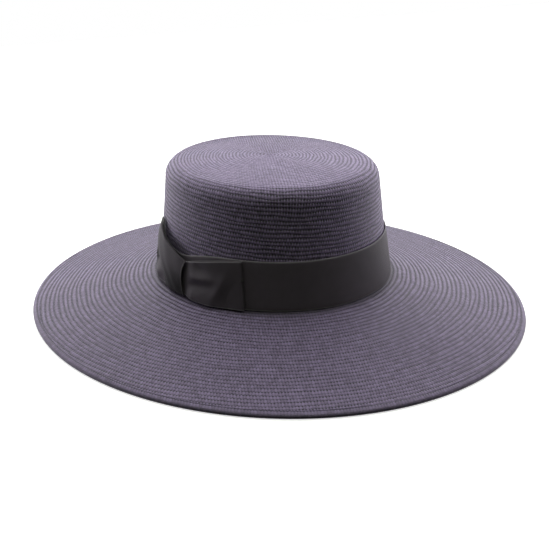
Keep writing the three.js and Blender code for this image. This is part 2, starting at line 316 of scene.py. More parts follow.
def grid_faces(rings, steps, ring_closed):
    """The four corners of each face between neighbouring rings, and its place in the grid. The grid always
    closes across its steps, and across its rings where ring_closed is true."""
    bands = rings if ring_closed else rings - 1
    ring, step = np.meshgrid(np.arange(bands), np.arange(steps), indexing="ij")
    ring, step = ring.ravel(), step.ravel()
    around = [(ring, step), (ring, step + 1), (ring + 1, step + 1), (ring + 1, step)]
    corners = np.stack([(r % rings) * steps + (s % steps) for r, s in around], axis=1)
    return corners, ring, step


def volume(points, faces):
    """Six times the volume inside a closed mesh: the sum over triangles of a . (b x c)."""
    total = 0.0
    for second in range(1, faces.shape[1] - 1):
        a, b, c = points[faces[:, 0]], points[faces[:, second]], points[faces[:, second + 1]]
        total += np.einsum("ij,ij->", a, np.cross(b, c))
    return total


def corner_values(first, second):
    """Two coordinates of faces' corners, each from its values at the four corners."""
    return np.stack([np.stack(first, axis=1), np.stack(second, axis=1)], axis=2).astype(float)


def store_values(mesh, name, values):
    """Stores a value for each point, under the name by which a material reads it."""
    attribute = mesh.attributes.new(name, "FLOAT", "POINT")
    attribute.data.foreach_set("value", values.ravel().astype(np.float32))


def make_piece(name, points, face_sets, uv_sets, material, nodes=(), shades=None):
    """A mesh object from points in millimetres. face_sets are arrays of quads or triangles, and uv_sets hold
    the weave coordinates of their corners. shades are named values for each point, which the material
    reads. Faces are turned so that the volume inside is positive."""
    points = points.reshape(-1, 3)
    inside = sum(volume(points, faces) for faces in face_sets)
    if inside < 0:
        face_sets = [faces[:, ::-1] for faces in face_sets]
        uv_sets = [uv[:, ::-1] for uv in uv_sets]
    mesh = bpy.data.meshes.new(name)
    mesh.from_pydata((points * MILLIMETRE).tolist(), [], [f for faces in face_sets for f in faces.tolist()])
    layer = mesh.uv_layers.new(name="weave")
    layer.data.foreach_set("uv", np.concatenate([uv.ravel() for uv in uv_sets]).astype(np.float32))
    for shade, values in (shades or {}).items():
        store_values(mesh, shade, values)
    mesh.polygons.foreach_set("use_smooth", np.ones(len(mesh.polygons), bool))
    mesh.materials.append(material)
    mesh.update()
    piece = bpy.data.objects.new(name, mesh)
    bpy.context.scene.collection.objects.link(piece)
    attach(piece, "root")
    if nodes:
        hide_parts(*nodes)
    triangles = sum(len(faces) * (faces.shape[1] - 2) for faces in face_sets)
    print(f"{name}: {triangles} triangles, {abs(inside) / SIX_VOLUMES:.1f} cubic centimetres")
    return piece


def oval_rings(half_length, half_width, angles, height):
    """Points of rings round the hat, from its front over the wearer's left side."""
    return np.stack(np.broadcast_arrays(half_width * np.sin(angles)[None, :],
                                        -half_length * np.cos(angles)[None, :], height), axis=-1)


def unit(vectors):
    """Each vector divided by its length."""
    return vectors / np.linalg.norm(vectors, axis=-1)[..., None]


def smooth_step(value, low, high):
    """0 below low and 1 above high, with the cubic 3x^2 - 2x^3 between them."""
    part = np.clip((value - low) / (high - low), 0, 1)
    return part * part * (3 - 2 * part)


def plateau(value, low, full, ebb, end):
    """0 below low, 1 from full to ebb, and 0 above end."""
    return smooth_step(value, low, full) * (1 - smooth_step(value, ebb, end))


# %% [markdown]
# ## The straw
# The body is woven by hand in concentric rows, from the middle of the tip outwards. Each row is a cord a
# little over three millimetres wide. Between two rows there is a groove, and along it, every two
# millimetres, a hole where the strands cross. The rows wander a little, because a hand made them. The
# cords are real geometry here, and the crossings in them come from the material, which paints the holes
# nearly black as a painted shade.

# %% Rows of straw
CROWN_ROW = 3.0  # width of a row on the crown
BRIM_ROW = 3.5  # and on the brim
CROSSING = 2.2  # distance between crossings along a row
GROOVE_DEPTH = 0.4
ROW_PHASES = np.array([0.0, 0.16, 0.5, 0.84])
BACK_PHASES = np.array([0.0, 0.5])
LEAST_ROW = 0.05  # rings nearer to the last one than this are left out
WANDER = 0.42  # how far a row strays sideways
WANDER_WAVES = 22
CROSSING_STRAY = 0.04  # how far a row's crossings stray from the half step, in crossings
SEED = 11
rng = np.random.default_rng(SEED)


def row_samples(rows, phases):
    """Row numbers at which rings are made: every phase of each whole row, and the end of the last."""
    whole = np.floor(rows)
    samples = (np.arange(whole + 1)[:, None] + phases[None, :]).ravel()
    return np.append(samples[samples < rows - LEAST_ROW], rows)


def groove(row):
    """Depth of the groove: greatest where the row number is whole, and 0 in the middle of a row. The depth
    falls with the square root of the sine, so that a cord looks round and a groove narrow."""
    return -GROOVE_DEPTH * (1 - np.sqrt(np.abs(np.sin(np.pi * row))))


def wander_table(rows, angles):
    """How far each boundary between rows strays, as a sum of sines round the hat with random heights."""
    count = int(math.ceil(rows)) + 2
    waves = np.arange(2, WANDER_WAVES)
    heights = rng.normal(0, 1, (count, len(waves))) / np.sqrt(len(waves))
    phases = rng.uniform(0, 2 * np.pi, (count, len(waves)))
    turns = waves[None, :, None] * angles[None, None, :] + phases[:, :, None]
    return WANDER * np.einsum("rw,rwa->ra", heights, np.sin(turns))


def wander(table, row):
    """The stray of a ring at a row number: its two boundaries' strays, mixed by how near each is."""
    low = np.floor(row).astype(int)
    part = (row - low)[:, None]
    return table[low] * (1 - part) + table[low + 1] * part


def crossings(lengths):
    """Whole numbers of crossings round each row, and each row's shift: every second row is half a crossing
    further on."""
    counts = np.maximum(np.round(lengths / CROSSING), 3)
    return counts, 0.5 * (np.arange(len(counts)) % 2) + rng.normal(0, CROSSING_STRAY, len(counts))


def oval_length(half_length, half_width):
    """Length round an oval, by Ramanujan's first formula."""
    a, b = half_length, half_width
    return np.pi * (3 * (a + b) - np.sqrt((3 * a + b) * (a + 3 * b)))


def woven_faces(rows, steps, closed, counts, shifts):
    """Faces of straw between rings at row numbers, and their weave coordinates: across, the share of the
    round times the row's count of crossings, plus the row's own shift; up, the row number."""
    quads, ring, step = grid_faces(len(rows) - closed, steps, closed)
    low_row, high_row = rows[ring], rows[ring + 1]
    row = np.clip(np.floor((low_row + high_row) / 2).astype(int), 0, len(counts) - 1)
    start = counts[row] * step / steps + shifts[row]
    end = counts[row] * (step + 1) / steps + shifts[row]
    return quads, corner_values([start, end, end, start], [low_row, low_row, high_row, high_row])


def unevenness(angles, reach):
    """The slight dents of a hand-blocked body: three slow waves round the hat, 0.3 mm high in all."""
    slow = np.sin(2 * angles + 0.7)[None, :] * np.sin(reach / 31.0)[:, None]
    middle = np.sin(5 * angles + 2.1)[None, :] * np.sin(reach / 17.0 + 1.0)[:, None]
    quick = np.sin(9 * angles + 4.0)[None, :] * np.sin(reach / 11.0 + 2.0)[:, None]
    return 0.16 * slow + 0.1 * middle + 0.06 * quick


# %% [markdown]
# ## The material of the straw
# It is dyed paper-like straw with a satin face: a dark mauve grey that shines softly where it is seen
# at a low angle. Within each cell of the weave the colour is painted palest on the strand's back and
# nearly black in the groove, the gap and the hole beside it, a painted shade over the real grooves. Single
# cells differ a little because each strand takes the dye in its own way, and fine fibres run along the
# cord. The pressed line and the hem are painted a little greyer and their weave is smoothed away; round
# the roll the grey deepens towards its underside as a painted shade. The straw is also painted darker as
# a painted shade beside the ribbon, and a little over the whole brim.
# Distances in the weave map are in cells: one crossing across, and one row up.

# %% Woven straw, dyed mauve grey
STRAW_PALE = "#a492bc"
STRAW_BODY = "#695c79"
STRAW_DEEP = "#17131c"
STRAW_HEM = "#2f2d31"
STRAW_FINISH = {"Roughness": 0.58, "Specular IOR Level": 0.36, "Sheen Weight": 0.42,
                "Sheen Roughness": 0.35, "Sheen Tint": linear("#dccaf8")}
STRAW_MIDDLE = 0.62  # the place of the body's colour between the deep and the pale one
PAINTED_SHADE_STRENGTH = 0.8  # how far the painted shade darkens the straw, beside the ribbon and over the brim
HEM_SHADE = 0.8  # how far it turns grey at the rolled edge; round the roll this grey is a painted shade
HEM_SMOOTHING = 6.0  # the weave is gone where the hem's value times this is 1
FRAY_SCALE = 900.0  # frayed edges: waves of about a millimetre
FRAY = 0.55
STRAND_POWER = 0.5  # the lower the power, the flatter the back and the narrower the gap
CORD_POWER = 0.12
GAP_DEPTH = 0.25  # the gap between strands, against the groove between cords
HOLE_UP = 0.16  # the hole's middle, from the groove up
HOLE_SQUASH = 1.3
HOLE_ZONE = (0.2, 0.5)
FIBRES = (1.3, 9.0, 1.0)  # fibres along a crossing and across a cord
STREAKS = (0.23, 7.3, 0.0)  # streaks of dye run for about four crossings
CLOUD_SCALE = 18.0
FIBRE_SHADE, DYE_SHADE, STREAK_SHADE, CLOUD_SHADE = 0.22, 0.14, 0.14, 0.1
SHADE_START = -0.46
BODY_MIDDLE = 0.8  # the height of smooth, pressed straw
FIBRE_RELIEF = 0.25
STRAW_BUMP = (0.7, 0.0004)


def straw_material():
    """Cell coordinates come from the weave map. The height of a strand is a root of a sine across the cell,
    times a root of a sine up the cord, times a round hole at the cell's corner. Height drives both colour
    and bump; in colour the grooves, gaps and holes are painted dark as a painted shade, and the strands'
    backs pale. Two values on the mesh's points darken the straw: hem at the rolled edge, where it also
    hides the cells and where round the roll it is a painted shade, and a second value, a painted shade
    beside the ribbon and over the whole brim."""
    material, tree, shader = new_material("woven_dyed_straw", STRAW_FINISH)
    calculate, calculate_vector = calculator(tree), calculator(tree, "ShaderNodeVectorMath")
    weave = add_node(tree, "ShaderNodeUVMap", uv_map="weave").outputs["UV"]
    place = add_node(tree, "ShaderNodeTexCoord").outputs["Object"]

    fray = calculate_vector("SUBTRACT", noise(tree, place, FRAY_SCALE, 2.0)["Color"], (0.5, 0.5, 0.5))
    loose = calculate_vector("MULTIPLY_ADD", fray, (FRAY, FRAY, FRAY), weave)
    parts = add_node(tree, "ShaderNodeSeparateXYZ", {"Vector": loose}).outputs
    in_cell = calculate("FRACT", parts["X"])
    in_row = calculate("FRACT", parts["Y"])

    strand = calculate("POWER", calculate("SINE", calculate("MULTIPLY", in_cell, math.pi)), STRAND_POWER)
    cord = calculate("POWER", calculate("SINE", calculate("MULTIPLY", in_row, math.pi)), CORD_POWER)
    sideways = calculate("SUBTRACT", calculate("ABSOLUTE", calculate("SUBTRACT", in_cell, 0.5)), 0.5)
    upwards = calculate("MULTIPLY", calculate("SUBTRACT", in_row, HOLE_UP), HOLE_SQUASH)
    square = calculate("MULTIPLY_ADD", sideways, sideways, calculate("MULTIPLY", upwards, upwards))
    hole = smooth_range(tree, calculate("SQRT", square), *HOLE_ZONE)

    cell = calculate_vector("FLOOR", weave)
    dye = add_node(tree, "ShaderNodeTexWhiteNoise", {"Vector": cell}, noise_dimensions="2D")
    stretched = add_node(tree, "ShaderNodeMapping", {"Vector": weave, "Scale": FIBRES}).outputs["Vector"]
    fibres = noise(tree, stretched, 1.0, 3.0, "2D")["Fac"]
    clouds = noise(tree, place, CLOUD_SCALE, 2.0)["Fac"]
    streaks = noise(tree, calculate_vector("MULTIPLY", cell, STREAKS), 1.0, 1.0, "2D")["Fac"]

    hem = point_value(tree, "hem")
    body = calculate("MULTIPLY", calculate("MULTIPLY", cord, hole),
                     calculate("MULTIPLY_ADD", strand, GAP_DEPTH, 1 - GAP_DEPTH))
    woven = calculate("SUBTRACT", 1.0, calculate("MULTIPLY", hem, HEM_SMOOTHING, use_clamp=True))
    body = calculate("MULTIPLY_ADD", calculate("SUBTRACT", body, BODY_MIDDLE), woven, BODY_MIDDLE)
    shade = calculate("ADD", body, SHADE_START)
    for part, weight in [(fibres, FIBRE_SHADE), (dye.outputs["Value"], DYE_SHADE), (streaks, STREAK_SHADE),
                         (clouds, CLOUD_SHADE)]:
        shade = calculate("MULTIPLY_ADD", part, weight, shade)

    # The weave's height picks the colour: painted shade in the grooves, gaps and holes, paler on the strands'
    # backs.
    colour = colour_ramp(tree, shade, [(0.0, STRAW_DEEP), (STRAW_MIDDLE, STRAW_BODY), (1.0, STRAW_PALE)])
    # Grey at the rolled edge; round the roll it is a painted shade.
    colour = mixed_colour(tree, calculate("MULTIPLY", hem, HEM_SHADE), colour, linear(STRAW_HEM))
    # A painted shade: darker beside the ribbon, and a little over the whole brim.
    straw_painted_shade = calculate("MULTIPLY", point_value(tree, "straw_painted_shade"), PAINTED_SHADE_STRENGTH)
    colour = mixed_colour(tree, straw_painted_shade, colour, linear(STRAW_DEEP))
    tree.links.new(colour, shader.inputs["Base Color"])
    add_bump(tree, shader, calculate("MULTIPLY_ADD", fibres, FIBRE_RELIEF, body), *STRAW_BUMP)
    return material


straw = straw_material()
print("material:", straw.name, "with", len(straw.node_tree.nodes), "nodes")

# %% [markdown]
# ## The crown
# The crown could be a lathe shape, but a hat isn't round. So one profile, from the middle of the tip over
# the shoulder to the foot, is carried round an oval. The distance along the profile is measured in rows of
# straw. The inside is the same profile, two millimetres further in.

# %% The crown
CROWN_STEPS = 300
ROW_TILT = 5.0  # the rows sit a little higher at one side, as the body was blocked
ROW_TILT_BEARING = math.radians(215)
TILT_START, TILT_FULL, TILT_END = 0.4, 10.0, 32.0  # a share of the tip, down the wall, above the foot
LOOSE_START, LOOSE_END = 20.0, 6.0  # the rows stray freely this far from the middle and from the foot
TIP_RELIEF = 0.3  # the tip is ironed flatter than the wall, by this factor
IRONED = 0.75  # up to this share of the way to the shoulder
TIP_HALF_LENGTH = HEAD_HALF_LENGTH - WALL_LEAN - SHOULDER_RADIUS
TIP_HALF_WIDTH = HEAD_HALF_WIDTH - WALL_LEAN - SHOULDER_RADIUS
SHOULDER_START = TIP_HALF_LENGTH
WALL_START = SHOULDER_START + SHOULDER_RADIUS * math.pi / 2
WALL_SLANT = math.hypot(WALL_HEIGHT, WALL_LEAN)
CROWN_REACH = WALL_START + WALL_SLANT * (1 - PIECE_GAP / WALL_HEIGHT)


def crown_points(reach, angles, inset):
    """Points of the crown at distances along its profile. The tip is a shallow parabola, the shoulder a
    quarter circle and the wall a straight line that leans out. inset is measured inwards along the normal."""
    part = np.clip(reach / SHOULDER_START, 0, 1)
    turn = np.clip((reach - SHOULDER_START) / SHOULDER_RADIUS, 0, math.pi / 2)
    down = np.clip((reach - WALL_START) / WALL_SLANT, 0, 1)
    out = SHOULDER_RADIUS * np.sin(turn) + WALL_LEAN * down
    height = TIP_TOP - TIP_RISE * part ** 2 - SHOULDER_RADIUS * (1 - np.cos(turn)) - WALL_HEIGHT * down
    tip_slope = 2 * TIP_RISE * part / SHOULDER_START * (turn == 0)
    normal_out = np.sin(turn) + tip_slope
    normal_up = np.cos(turn) + (down > 0) * WALL_LEAN / WALL_SLANT
    half_length = TIP_HALF_LENGTH * part + out - inset * normal_out
    half_width = TIP_HALF_WIDTH * part + out - inset * normal_out
    return oval_rings(half_length, half_width, angles, height - inset * normal_up)


def make_crown():
    """The outer and the inner skin, joined at the foot, with a pole in the middle of each tip."""
    angles = np.arange(CROWN_STEPS) * 2 * np.pi / CROWN_STEPS
    rows = CROWN_REACH / CROWN_ROW
    table = wander_table(rows, angles)
    outer_rows = row_samples(rows, ROW_PHASES)[1:]
    inner_rows = row_samples(rows, BACK_PHASES)[1:]
    counts, shifts = crossings(np.minimum(
        oval_length(TIP_HALF_LENGTH, TIP_HALF_WIDTH) * (np.arange(rows) + 0.5) * CROWN_ROW / SHOULDER_START,
        oval_length(HEAD_HALF_LENGTH, HEAD_HALF_WIDTH)))

    def skin(row, thickness, relief):
        """One skin: rings at row numbers, shifted by the tilt and the wander of the rows."""
        reach = row * CROWN_ROW
        tilted = plateau(reach, TILT_START * SHOULDER_START, WALL_START + TILT_FULL,
                         CROWN_REACH - TILT_END, CROWN_REACH)
        tilt = ROW_TILT * tilted[:, None] * np.cos(angles - ROW_TILT_BEARING)[None, :]
        loose = plateau(reach, 0, LOOSE_START, CROWN_REACH - LOOSE_END, CROWN_REACH)
        stray = wander(table, row) * loose[:, None]
        where = np.clip(reach[:, None] - tilt + stray, 0, CROWN_REACH)
        pressed = TIP_RELIEF + (1 - TIP_RELIEF) * smooth_step(reach, IRONED * SHOULDER_START, WALL_START)
        inset = thickness - relief * (pressed * groove(row))[:, None] - unevenness(angles, reach)
        return crown_points(where, angles, inset)

    outer = skin(outer_rows, 0.0, 1.0)
    inner = skin(inner_rows, STRAW_THICKNESS, -1.0)
    inner[-1, :, 2] = outer[-1, :, 2]
    rings = np.concatenate([outer, inner[::-1]])
    ring_rows = np.concatenate([outer_rows, inner_rows[::-1]])
    poles = crown_points(np.zeros((1, 1)), np.zeros(1), np.array([[0.0], [STRAW_THICKNESS]]))[:, 0]
    points = np.concatenate([rings.reshape(-1, 3), poles])
    quads, uv = woven_faces(ring_rows, CROWN_STEPS, False, counts, shifts)

    first = np.arange(CROWN_STEPS)
    after = (first + 1) % CROWN_STEPS
    last_ring = (len(rings) - 1) * CROWN_STEPS
    pole = np.full_like(first, len(points) - 2)
    outer_pole = np.stack([pole, after, first], axis=1)
    inner_pole = np.stack([pole + 1, last_ring + first, last_ring + after], axis=1)
    pole_uv = np.zeros((CROWN_STEPS, 3, 2))
    pole_uv[:, 1:, 1] = ROW_PHASES[1]
    return make_piece("crown_straw", points, [quads, outer_pole, inner_pole],
                      [uv, pole_uv, pole_uv], straw, ["crown"])


crown = make_crown()

# %% [markdown]
# ## The brim
# The brim goes on from the crown in the same rows, down a nearly straight slope. Its edge is turned under
# and rolled, so past a pressed line the last row stands a little proud and its weave is hard to see. At the
# inner edge a collar of straw turns up inside the crown.

# %% The brim
BRIM_STEPS = 400
BRIM_ROWS = 31
BRIM_RELIEF = 0.9  # the brim's grooves are a little shallower than the crown's
HEM_GROOVE = 0.45
# The hem's rings: millimetres past the pressed line and raised, and rows past the line in the weave.
HEM_RINGS = np.array([(0.45, -0.12, 0.1), (0.95, 0.1, 0.25), (1.8, 0.1, 0.5)])
ROLL_TURNS = np.radians([72, 50, 28, 6, -16, -38, -60, -80, -100, -125, -150])
ROLL_ROWS = (0.8, 2.4)
LINE_SHADE, FACE_SHADE = 0.4, 0.06  # how grey the pressed line and the hem's face are; the roll has 1
SHADE_TURN, SHADE_STEP = 1.4, 0.4  # on the roll the grey, a painted shade, grows from this ring on towards the underside, by this much a ring
BUNDLE_STEP = 0.00008
BRIM_LOOSE = 8.0  # the rows stray freely this far from the crown
CALM_WIDTH = 0.22  # dents die away over this share of the brim
SHARP_ZONE = (0.016, 0.003)  # and the grooves between these shares, before the pressed line
BRIM_PAINTED_SHADE = 0.44  # painted shade: the whole brim is darkened a little against the crown
PAINTED_SHADE_START = 3.2  # painted shade: the brim is darkened this far from the crown, beneath the ribbon's edge
PAINTED_SHADE_REACH = 3.6
COLLAR_ROUNDING = 0.5
COLLAR_CORNERS = (0.6, 0.4)  # how far the rounding cuts its inner and its outer corner
COLLAR_ROWS = np.append(np.linspace(-0.2, -7, 8), -7.2)
BRIM_REACH = BRIM_HALF_LENGTH - HEAD_HALF_LENGTH
SIDE_REACH = BRIM_HALF_WIDTH - HEAD_HALF_WIDTH
HEM_WIDTH = BRIM_REACH - BRIM_ROWS * BRIM_ROW
HEM_START = 1 - HEM_WIDTH / BRIM_REACH
ROLL_RADIUS = ROLL_DIAMETER / 2


def brim_height(share):
    """Height of the brim's face: (1 - share)(1 - sag share) of the fall from the crown, above the roll."""
    fall = (1 - share) * (1 - BRIM_SAG * share)
    return ROLL_DIAMETER + (FOOT_HEIGHT - ROLL_DIAMETER) * fall


def brim_points(share, angles, inset, raised):
    """Rings of the brim: share runs from the crown's foot to the edge, inset is measured inwards and level,
    and raised is added to the height of the brim's face."""
    half_length = HEAD_HALF_LENGTH + BRIM_REACH * share - inset
    half_width = HEAD_HALF_WIDTH + SIDE_REACH * share - inset
    return oval_rings(half_length, half_width, angles, brim_height(share) + raised)


def collar_rings(angles):
    """The collar inside the crown, from its inner foot up and over its rounded top to its outer foot."""
    outside = STRAW_THICKNESS + PIECE_GAP
    inside = outside + COLLAR_THICKNESS
    lean = WALL_LEAN * COLLAR_HEIGHT / WALL_HEIGHT
    shoulder = COLLAR_HEIGHT - COLLAR_ROUNDING
    inset, raised = np.array([
        (inside, -STRAW_THICKNESS / 2), (inside + lean / 2, COLLAR_HEIGHT / 2), (inside + lean, shoulder),
        (inside + lean - COLLAR_CORNERS[0], COLLAR_HEIGHT),
        (outside + lean + COLLAR_CORNERS[1], COLLAR_HEIGHT),
        (outside + lean, shoulder), (outside + lean / 2, COLLAR_HEIGHT / 2), (outside, 0.0),
    ]).T[:, :, None]
    return brim_points(np.zeros((len(inset), BRIM_STEPS)), angles, inset, raised)


def make_brim():
    """The section, closed in itself, is carried round: the upper face, the roll, the lower face, the collar.
    The rows are equally wide all round, but the brim is narrower at its sides, so the outer rows run into
    the hem there and end."""
    angles = np.arange(BRIM_STEPS) * 2 * np.pi / BRIM_STEPS
    local_reach = BRIM_REACH * np.cos(angles) ** 2 + SIDE_REACH * np.sin(angles) ** 2
    table = wander_table(BRIM_ROWS, angles)
    upper_rows = row_samples(BRIM_ROWS, ROW_PHASES)
    lower_rows = row_samples(BRIM_ROWS, BACK_PHASES)
    middle = np.minimum((np.arange(BRIM_ROWS + 2) + 0.5) * BRIM_ROW, BRIM_REACH)
    counts, shifts = crossings(oval_length(HEAD_HALF_LENGTH + middle, HEAD_HALF_WIDTH + middle))

    def face(row, thickness, relief):
        """One face of the brim, with its rows' grooves and wander. Rings past the hem's line are bundled
        just inside it, so no two of them coincide."""
        reach = row * BRIM_ROW
        loose = smooth_step(reach, 0, BRIM_LOOSE)[:, None]
        share = (reach[:, None] + wander(table, row) * loose) / local_reach[None, :]
        bundled = HEM_START - BUNDLE_STEP * np.arange(len(row))[::-1, None]
        share = np.minimum(share, bundled)
        share[-1] = HEM_START
        share = np.minimum.accumulate(share[::-1], axis=0)[::-1]
        calm = 1 - smooth_step(share, HEM_START - CALM_WIDTH, HEM_START)
        sharp = 1 - smooth_step(share, HEM_START - SHARP_ZONE[0], HEM_START - SHARP_ZONE[1])
        raised = relief * groove(row)[:, None] * sharp - thickness + unevenness(angles, reach) * calm
        return brim_points(share, angles, 0.0, raised)

    upper = face(upper_rows, 0.0, BRIM_RELIEF)
    upper[-1, :, 2] -= HEM_GROOVE
    lower = face(lower_rows, STRAW_THICKNESS, -1.0)

    past, raised, hem_rows = HEM_RINGS.T[:, :, None]
    past_share = (BRIM_REACH - HEM_WIDTH + past) / BRIM_REACH + np.zeros_like(angles)
    hem = brim_points(past_share, angles, 0.0, raised)
    turns = ROLL_TURNS[:, None]
    edge = np.ones_like(turns) + np.zeros_like(angles)
    roll = brim_points(edge, angles, ROLL_RADIUS * (1 - np.cos(turns)), 0.0)
    roll[..., 2] = ROLL_RADIUS * (1 + np.sin(turns))
    collar = collar_rings(angles)

    rings = np.concatenate([upper, hem, roll, lower[::-1], collar])
    ring_rows = np.concatenate([
        upper_rows, BRIM_ROWS + hem_rows[:, 0], BRIM_ROWS + np.linspace(*ROLL_ROWS, len(roll)),
        lower_rows[::-1], COLLAR_ROWS])
    quads, uv = woven_faces(ring_rows, BRIM_STEPS, True, counts, shifts)
    # The pressed line and the hem are painted greyer; round the roll the grey grows towards its underside, a
    # painted shade.
    grey = np.zeros(rings.shape[:2])
    grey[len(upper) - 1:len(upper) + len(hem) + len(roll)] = np.concatenate([
        [LINE_SHADE], np.full(len(hem), FACE_SHADE),
        np.clip((np.arange(len(roll)) - SHADE_TURN) * SHADE_STEP, FACE_SHADE, 1)])[:, None]
    # A painted shade: the whole brim is darkened a little, and its upper face much more next to the crown,
    # beneath the ribbon's edge.
    beyond = np.maximum(upper_rows * BRIM_ROW - PAINTED_SHADE_START, 0) / PAINTED_SHADE_REACH
    shaded = np.full(rings.shape[:2], BRIM_PAINTED_SHADE)
    shaded[:len(upper)] += (1 - BRIM_PAINTED_SHADE) * np.exp(-beyond ** 2)[:, None]
    make_piece("brim_straw", rings, [quads], [uv], straw, ["brim"],
               {"hem": grey, "straw_painted_shade": shaded})


make_brim()

# %% [markdown]
# ## The ribbon
# Band and bow are one kind of ribbon: grosgrain, woven with fine ribs across its width and a firm edge on
# both sides. It is nearly black and matt, with a soft bloom where light grazes it. A ribbon is easiest to
# work out on the band itself: so many millimetres along it, so many up, and so many out from its face.

# %% Grosgrain ribbon, near black
RIBBON_BODY = "#474149"
RIBBON_PALE = "#5b535f"
RIBBON_DEEP = "#0d0c0e"
RIBBON_EDGE_HIGHLIGHT = "#77727a"
RIBBON_FINISH = {"Roughness": 0.6, "Specular IOR Level": 0.12, "Sheen Weight": 0.04,
                 "Sheen Roughness": 0.4}
RIB_SPACING = 0.9  # real ribs are 0.6 mm apart, too fine to show
SELVEDGE_ZONE = (0.8, 0.2)  # the selvedge's painted highlight grows between these distances from the edge
SELVEDGE_HIGHLIGHT, SELVEDGE_HIGHLIGHT_LOSS = 0.8, -0.6  # a painted highlight on the selvedge: how pale it is, and how much of it the painted shade takes away
THREAD_SCALE, BLOOM_SCALE = 2.4, 0.09
RIB_SHADE, THREAD_SHADE, BLOOM_SHADE = 0.18, 0.45, 0.3
RIB_RELIEF, THREAD_RELIEF = 0.7, 0.6
RIBBON_BUMP = (0.45, 0.00025)


def ribbon_material():
    """The weave map holds millimetres along and across the ribbon. Ribs are a sine along it, and the
    selvedge is where the distance to the nearer edge is under a millimetre; it carries a painted highlight.
    A value on the mesh's points is a painted shade: it darkens the ribbon where it lies out of the light,
    between its layers or under the bow, and dims the selvedge's highlight."""
    material, tree, shader = new_material("grosgrain_ribbon", RIBBON_FINISH)
    calculate = calculator(tree)
    weave = add_node(tree, "ShaderNodeUVMap", uv_map="weave").outputs["UV"]
    parts = add_node(tree, "ShaderNodeSeparateXYZ", {"Vector": weave}).outputs
    along, across = parts["X"], parts["Y"]

    rib = calculate("SINE", calculate("MULTIPLY", along, 2 * math.pi / RIB_SPACING))
    rib = calculate("MULTIPLY_ADD", rib, 0.5, 0.5)
    threads = noise(tree, weave, THREAD_SCALE, 3.0, "2D")["Fac"]
    bloom = noise(tree, weave, BLOOM_SCALE, 2.0, "2D")["Fac"]
    nearer = calculate("MINIMUM", across, calculate("SUBTRACT", RIBBON_WIDTH, across))
    selvedge = smooth_range(tree, nearer, *SELVEDGE_ZONE)
    pale = calculate("MULTIPLY_ADD", threads, THREAD_SHADE, calculate("MULTIPLY", rib, RIB_SHADE))
    pale = calculate("MULTIPLY_ADD", bloom, BLOOM_SHADE, pale, use_clamp=True)
    colour = mixed_colour(tree, pale, linear(RIBBON_BODY), linear(RIBBON_PALE))
    # A painted shade: the ribbon is darkened where it lies out of the light.
    ribbon_painted_shade = point_value(tree, "ribbon_painted_shade")
    colour = mixed_colour(tree, ribbon_painted_shade, colour, linear(RIBBON_DEEP))
    # A painted highlight: the selvedge is painted pale, less so where the painted shade lies.
    lit_edge = calculate("MULTIPLY", selvedge,
                         calculate("MULTIPLY_ADD", ribbon_painted_shade, SELVEDGE_HIGHLIGHT_LOSS, SELVEDGE_HIGHLIGHT))
    colour = mixed_colour(tree, lit_edge, colour, linear(RIBBON_EDGE_HIGHLIGHT))
    tree.links.new(colour, shader.inputs["Base Color"])
    height = calculate("MULTIPLY_ADD", threads, THREAD_RELIEF, calculate("MULTIPLY", rib, RIB_RELIEF))
    add_bump(tree, shader, height, *RIBBON_BUMP)
    return material


ribbon = ribbon_material()
print("material:", ribbon.name, "with", len(ribbon.node_tree.nodes), "nodes")

# %% [markdown]
# ## A place on the band
# The band flares a little at its foot, where it lies on the brim. The knot's bearing and the distance run
# round the crown's foot place everything on it.

# %% A place on the band
BAND_FLARE_AT_FOOT = 2.66
BAND_FLARE_AT_TOP = 1.39
KNOT_BEARING = math.radians(77)
OVAL_STEPS = 2880


def oval_table(half_length, half_width):
    """An oval from the front round the left side, back and right side: points, the directions along it, and
    the distance run to each."""
    turn = -math.pi / 2 + np.linspace(0, 2 * np.pi, OVAL_STEPS + 1)
    points = np.stack([half_width * np.cos(turn), half_length * np.sin(turn)], axis=1)
    ways = unit(np.stack([-half_width * np.sin(turn), half_length * np.cos(turn)], axis=1))
    run = np.append(0, np.cumsum(np.linalg.norm(np.diff(points, axis=0), axis=1)))
    return points, ways, run


def at_run(run, table, values):
    """The plane vectors in a table of values at distances run."""
    return np.stack([np.interp(run, table, values[:, k]) for k in (0, 1)], axis=-1)


foot_points, foot_ways, foot_run = oval_table(HEAD_HALF_LENGTH, HEAD_HALF_WIDTH)
FOOT_LENGTH = foot_run[-1]
knot_turn = math.atan2(HEAD_HALF_LENGTH * math.sin(KNOT_BEARING), HEAD_HALF_WIDTH * math.cos(KNOT_BEARING))
KNOT_DISTANCE = foot_run[round((1 - knot_turn / (2 * math.pi)) * OVAL_STEPS)]


def on_band(along, up, out):
    """Points from millimetres along the band, from the knot's middle towards the front, up from its lower
    edge and out from its face: the foot's point, moved outwards by the band's flare and out."""
    along, up, out = np.broadcast_arrays(along, up, out)
    run = np.mod(KNOT_DISTANCE + along, FOOT_LENGTH)
    foot = at_run(run, foot_run, foot_points)
    way = at_run(run, foot_run, foot_ways)
    flare_at_top = -WALL_LEAN * RIBBON_WIDTH / WALL_HEIGHT + BAND_FLARE_AT_TOP
    offset = BAND_FLARE_AT_FOOT + (flare_at_top - BAND_FLARE_AT_FOOT) * up / RIBBON_WIDTH + out
    return np.stack([foot[..., 0] + way[..., 1] * offset, foot[..., 1] - way[..., 0] * offset,
                     FOOT_HEIGHT + up], axis=-1)


def bump_of(value, middle, reach):
    """A bell: 1 at the middle, falling as exp(-x^2)."""
    return np.exp(-(((value - middle) / reach) ** 2))


print(f"round the foot {FOOT_LENGTH:.0f} mm, knot at {KNOT_DISTANCE:.0f} mm")

# %% [markdown]
# ## A ribbon's section
# Band, loops and knot share one thin section with round rims, which is carried along each of them.

